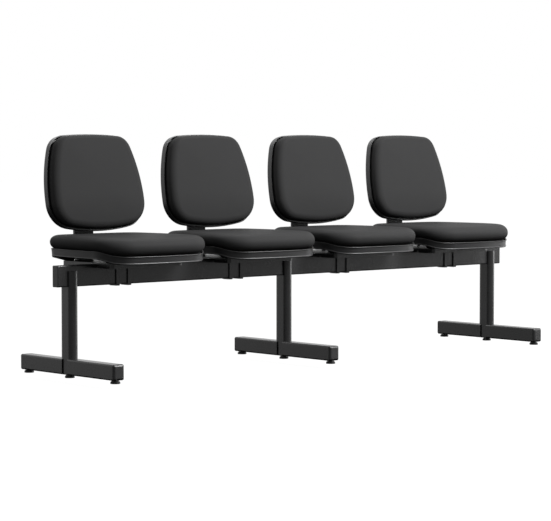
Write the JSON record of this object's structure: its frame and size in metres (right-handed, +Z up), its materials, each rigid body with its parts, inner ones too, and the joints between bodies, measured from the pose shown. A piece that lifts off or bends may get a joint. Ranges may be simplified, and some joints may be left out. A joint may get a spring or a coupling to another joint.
{
  "type": "beam seating",
  "caption": "Beam seating: upholstered seats and backrests side by side on one steel beam, on T-shaped legs with levelling glides.",
  "frame": {"origin": "on the floor, under the middle of the middle leg's column, 60 mm left of the beam's middle", "axes": "+X along the beam, to the right for someone who stands in front and looks at the seats; +Y towards the backrests; +Z up"},
  "size_m": [2.114, 0.523, 0.7898],
  "materials": {
    "frame_black": "black powder coat, semi-gloss",
    "shell_black": "black moulded plastic, fine grain",
    "cap_black": "black moulded plastic, smooth",
    "glide_black": "black hard plastic",
    "board_wood": "plain plywood",
    "vinyl_black": "smooth black vinyl with a soft sheen",
    "screw_steel": "zinc plated"
  },
  "bodies": {
    "seating": {"beam_tube": "frame_black", "beam_end_cap_left": "cap_black", "beam_end_cap_right": "cap_black", "leg_column_left": "frame_black", "foot_bar_front_left": "frame_black", "foot_bar_rear_left": "frame_black", "foot_end_caps_left": "cap_black", "leg_column_middle": "frame_black", "foot_bar_front_middle": "frame_black", "foot_bar_rear_middle": "frame_black", "foot_end_caps_middle": "cap_black", "leg_column_right": "frame_black", "foot_bar_front_right": "frame_black", "foot_bar_rear_right": "frame_black", "foot_end_caps_right": "cap_black", "leg_screws": "screw_steel", "support_plate_1": "frame_black", "seat_shell_1": "shell_black", "seat_board_1": "board_wood", "seat_cushion_1": "vinyl_black", "back_bar_1": "frame_black", "back_board_1": "board_wood", "back_shell_1": "shell_black", "back_cushion_1": "vinyl_black", "support_plate_2": "frame_black", "seat_shell_2": "shell_black", "seat_board_2": "board_wood", "seat_cushion_2": "vinyl_black", "back_bar_2": "frame_black", "back_board_2": "board_wood", "back_shell_2": "shell_black", "back_cushion_2": "vinyl_black", "support_plate_3": "frame_black", "seat_shell_3": "shell_black", "seat_board_3": "board_wood", "seat_cushion_3": "vinyl_black", "back_bar_3": "frame_black", "back_board_3": "board_wood", "back_shell_3": "shell_black", "back_cushion_3": "vinyl_black", "support_plate_4": "frame_black", "seat_shell_4": "shell_black", "seat_board_4": "board_wood", "seat_cushion_4": "vinyl_black", "back_bar_4": "frame_black", "back_board_4": "board_wood", "back_shell_4": "shell_black", "back_cushion_4": "vinyl_black", "clamp_straps": "frame_black", "short_screws": "screw_steel", "seat_screws": "screw_steel"},
    "glide_front_left_body": {"glide_front_left": "glide_black"},
    "glide_middle_left_body": {"glide_middle_left": "glide_black"},
    "glide_rear_left_body": {"glide_rear_left": "glide_black"},
    "glide_front_middle_body": {"glide_front_middle": "glide_black"},
    "glide_middle_middle_body": {"glide_middle_middle": "glide_black"},
    "glide_rear_middle_body": {"glide_rear_middle": "glide_black"},
    "glide_front_right_body": {"glide_front_right": "glide_black"},
    "glide_middle_right_body": {"glide_middle_right": "glide_black"},
    "glide_rear_right_body": {"glide_rear_right": "glide_black"}
  },
  "joints": [
    {"name": "glide_front_left_screw", "type": "slide", "parent": "seating", "child": "glide_front_left_body", "axis": [0, 0, -1], "range_m": [-0.0015, 0.015]},
    {"name": "glide_middle_left_screw", "type": "slide", "parent": "seating", "child": "glide_middle_left_body", "axis": [0, 0, -1], "range_m": [-0.0015, 0.015]},
    {"name": "glide_rear_left_screw", "type": "slide", "parent": "seating", "child": "glide_rear_left_body", "axis": [0, 0, -1], "range_m": [-0.0015, 0.015]},
    {"name": "glide_front_middle_screw", "type": "slide", "parent": "seating", "child": "glide_front_middle_body", "axis": [0, 0, -1], "range_m": [-0.0015, 0.015]},
    {"name": "glide_middle_middle_screw", "type": "slide", "parent": "seating", "child": "glide_middle_middle_body", "axis": [0, 0, -1], "range_m": [-0.0015, 0.015]},
    {"name": "glide_rear_middle_screw", "type": "slide", "parent": "seating", "child": "glide_rear_middle_body", "axis": [0, 0, -1], "range_m": [-0.0015, 0.015]},
    {"name": "glide_front_right_screw", "type": "slide", "parent": "seating", "child": "glide_front_right_body", "axis": [0, 0, -1], "range_m": [-0.0015, 0.015]},
    {"name": "glide_middle_right_screw", "type": "slide", "parent": "seating", "child": "glide_middle_right_body", "axis": [0, 0, -1], "range_m": [-0.0015, 0.015]},
    {"name": "glide_rear_right_screw", "type": "slide", "parent": "seating", "child": "glide_rear_right_body", "axis": [0, 0, -1], "range_m": [-0.0015, 0.015]}
  ]
}
